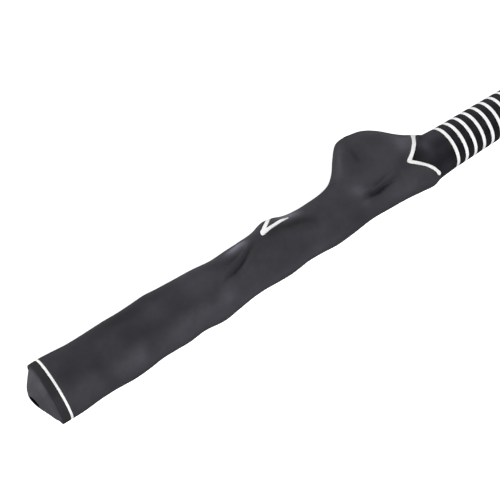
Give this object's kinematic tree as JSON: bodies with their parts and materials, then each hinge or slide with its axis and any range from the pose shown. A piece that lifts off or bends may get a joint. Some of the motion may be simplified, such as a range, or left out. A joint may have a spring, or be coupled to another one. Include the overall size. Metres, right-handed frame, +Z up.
{
  "type": "swing trainer stick",
  "caption": "Short weighted golf swing practice stick: black moulded hand-position grip with a finger hook and white alignment lines, stepped steel shaft and steel weight with a rubber bumper.",
  "frame": {"origin": "centre of the flat face of the rubber bumper on the head end, on the shaft axis; the level surface that the stick lies on is 14 mm below it", "axes": "+X along the shaft axis from the head end toward the butt of the grip; +Z up with the stick lying at rest; the finger hook of the grip points to -Y and about 21 degrees below level"},
  "size_m": [0.6259, 0.0407, 0.0282],
  "materials": {
    "grip_rubber": "matte moulded rubber, very slightly violet black",
    "cap_rubber": "matte moulded rubber, a little lighter than the grip",
    "line_white": "smooth white paint filled into moulded grooves",
    "tape": "tan double-sided grip tape",
    "shaft_chrome": "bright chrome plate",
    "ferrule_plastic": "gloss black",
    "weight_steel": "turned steel, satin nickel plate",
    "insert_steel": "machined",
    "screw_steel": "black oxide",
    "washer_steel": "zinc plate",
    "bumper_rubber": "matte moulded rubber"
  },
  "bodies": {
    "root": {"grip_body": "grip_rubber", "grip_end_cap": "cap_rubber", "butt_ring_line": "line_white", "upper_v_line": "line_white", "lower_v_line": "line_white", "taper_ring_01": "line_white", "taper_ring_02": "line_white", "taper_ring_03": "line_white", "taper_ring_04": "line_white", "taper_ring_05": "line_white", "taper_ring_06": "line_white", "taper_ring_07": "line_white", "taper_ring_08": "line_white", "taper_ring_09": "line_white", "taper_ring_10": "line_white", "taper_ring_11": "line_white", "grip_tape": "tape", "shaft": "shaft_chrome", "ferrule": "ferrule_plastic", "head_weight": "weight_steel", "tip_insert": "insert_steel", "head_screw": "screw_steel", "head_washer": "washer_steel", "lock_washer": "washer_steel", "end_bumper": "bumper_rubber"}
  },
  "joints": []
}
